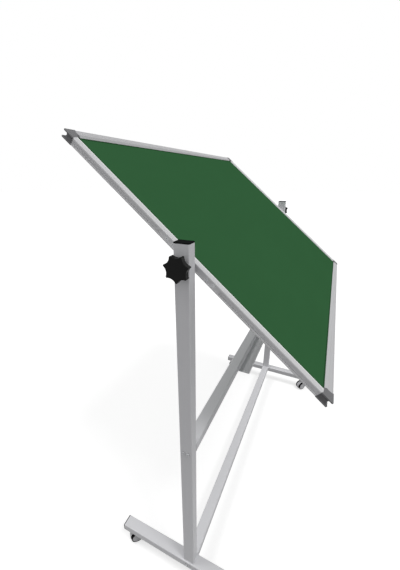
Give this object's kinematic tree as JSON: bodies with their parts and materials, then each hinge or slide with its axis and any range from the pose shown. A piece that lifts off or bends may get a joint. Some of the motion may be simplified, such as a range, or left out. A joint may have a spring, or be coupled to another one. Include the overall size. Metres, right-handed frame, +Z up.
{
  "type": "mobile chalkboard",
  "caption": "Framed green chalkboard that revolves on a horizontal pivot between tube uprights, clamped by star knobs, with a chalk tray, low stretcher and swivel casters.",
  "frame": {"origin": "on the floor, midway between the uprights", "axes": "+Z up, +X along the pivot from the near upright to the far one, -Y the side that the upper writing face looks towards"},
  "size_m": [1.335, 0.703, 1.5223],
  "materials": {
    "tube_paint": "silver-grey powder coat, satin",
    "tray_paint": "silver-grey powder coat, satin",
    "cap_black": "black moulded plastic",
    "rail_aluminium": "natural anodised",
    "corner_grey": "grey moulded plastic",
    "board_green": "matt green chalk enamel",
    "core_wood": "fibre board",
    "zinc_steel": "zinc plated",
    "insert_brass": "turned brass",
    "plug_nylon": "black nylon",
    "knob_black": "black moulded plastic, satin",
    "caster_grey": "grey moulded nylon",
    "caster_tread": "black tread"
  },
  "bodies": {
    "stand": {"upright_near": "tube_paint", "upright_far": "tube_paint", "upright_cap_near": "cap_black", "upright_cap_far": "cap_black", "pivot_sleeves": "zinc_steel", "foot_near": "tube_paint", "foot_far": "tube_paint", "foot_caps": "cap_black", "crossbar": "tube_paint", "stretcher": "tube_paint", "tube_plugs": "plug_nylon", "joint_bolts": "zinc_steel", "chalk_tray": "tray_paint", "tray_screws": "tray_paint", "caster_inserts": "zinc_steel", "caster_stems": "zinc_steel"},
    "board": {"board_core": "core_wood", "front_surface": "board_green", "back_surface": "board_green", "top_rail": "rail_aluminium", "bottom_rail": "rail_aluminium", "side_rail_near": "rail_aluminium", "side_rail_far": "rail_aluminium", "corner_near_top": "corner_grey", "corner_near_bottom": "corner_grey", "corner_far_top": "corner_grey", "corner_far_bottom": "corner_grey", "pivot_plate_near": "zinc_steel", "pivot_plate_far": "zinc_steel", "plate_screws": "zinc_steel", "pivot_bolt_near": "zinc_steel", "pivot_bolt_far": "zinc_steel", "pivot_spacer_near": "rail_aluminium", "pivot_spacer_far": "rail_aluminium"},
    "washer_near": {"knob_washer_near": "zinc_steel"},
    "knob_near": {"knob_near": "knob_black", "knob_insert_near": "insert_brass"},
    "washer_far": {"knob_washer_far": "zinc_steel"},
    "knob_far": {"knob_far": "knob_black", "knob_insert_far": "insert_brass"},
    "caster_near_front": {"hood_near_front": "caster_grey"},
    "wheelset_near_front": {"wheels_near_front": "caster_grey", "tyres_near_front": "caster_tread", "axle_near_front": "zinc_steel"},
    "caster_near_back": {"hood_near_back": "caster_grey"},
    "wheelset_near_back": {"wheels_near_back": "caster_grey", "tyres_near_back": "caster_tread", "axle_near_back": "zinc_steel"},
    "caster_far_front": {"hood_far_front": "caster_grey"},
    "wheelset_far_front": {"wheels_far_front": "caster_grey", "tyres_far_front": "caster_tread", "axle_far_front": "zinc_steel"},
    "caster_far_back": {"hood_far_back": "caster_grey"},
    "wheelset_far_back": {"wheels_far_back": "caster_grey", "tyres_far_back": "caster_tread", "axle_far_back": "zinc_steel"}
  },
  "joints": [
    {"name": "board_tilt", "type": "hinge", "parent": "stand", "child": "board", "pos_m": [0, 0, 1.225], "axis": [1, 0, 0], "continuous": true},
    {"name": "knob_near_travel", "type": "slide", "parent": "board", "child": "washer_near", "axis": [-1, 0, 0], "range_m": [0, 0.003]},
    {"name": "knob_near_turn", "type": "hinge", "parent": "washer_near", "child": "knob_near", "pos_m": [-0.655, 0, 1.225], "axis": [-1, 0, 0], "range_deg": [0, 719]},
    {"name": "knob_far_travel", "type": "slide", "parent": "board", "child": "washer_far", "axis": [1, 0, 0], "range_m": [0, 0.003]},
    {"name": "knob_far_turn", "type": "hinge", "parent": "washer_far", "child": "knob_far", "pos_m": [0.655, 0, 1.225], "axis": [1, 0, 0], "range_deg": [0, 719]},
    {"name": "swivel_near_front", "type": "hinge", "parent": "stand", "child": "caster_near_front", "pos_m": [-0.625, -0.266, 0.06], "axis": [0, 0, 1], "continuous": true},
    {"name": "roll_near_front", "type": "hinge", "parent": "caster_near_front", "child": "wheelset_near_front", "pos_m": [-0.63649, -0.25636, 0.025], "axis": [0.6428, 0.766, 0], "continuous": true},
    {"name": "swivel_near_back", "type": "hinge", "parent": "stand", "child": "caster_near_back", "pos_m": [-0.625, 0.266, 0.06], "axis": [0, 0, 1], "continuous": true},
    {"name": "roll_near_back", "type": "hinge", "parent": "caster_near_back", "child": "wheelset_near_back", "pos_m": [-0.61351, 0.25636, 0.025], "axis": [0.6428, 0.766, 0], "continuous": true},
    {"name": "swivel_far_front", "type": "hinge", "parent": "stand", "child": "caster_far_front", "pos_m": [0.625, -0.266, 0.06], "axis": [0, 0, 1], "continuous": true},
    {"name": "roll_far_front", "type": "hinge", "parent": "caster_far_front", "child": "wheelset_far_front", "pos_m": [0.61351, -0.25636, 0.025], "axis": [0.6428, 0.766, 0], "continuous": true},
    {"name": "swivel_far_back", "type": "hinge", "parent": "stand", "child": "caster_far_back", "pos_m": [0.625, 0.266, 0.06], "axis": [0, 0, 1], "continuous": true},
    {"name": "roll_far_back", "type": "hinge", "parent": "caster_far_back", "child": "wheelset_far_back", "pos_m": [0.63649, 0.25636, 0.025], "axis": [0.6428, 0.766, 0], "continuous": true}
  ],
  "couplings": [
    {"joint": "knob_near_travel", "follows": "knob_near_turn", "m_per_rad": 0.0002387},
    {"joint": "knob_far_travel", "follows": "knob_far_turn", "m_per_rad": 0.0002387}
  ]
}
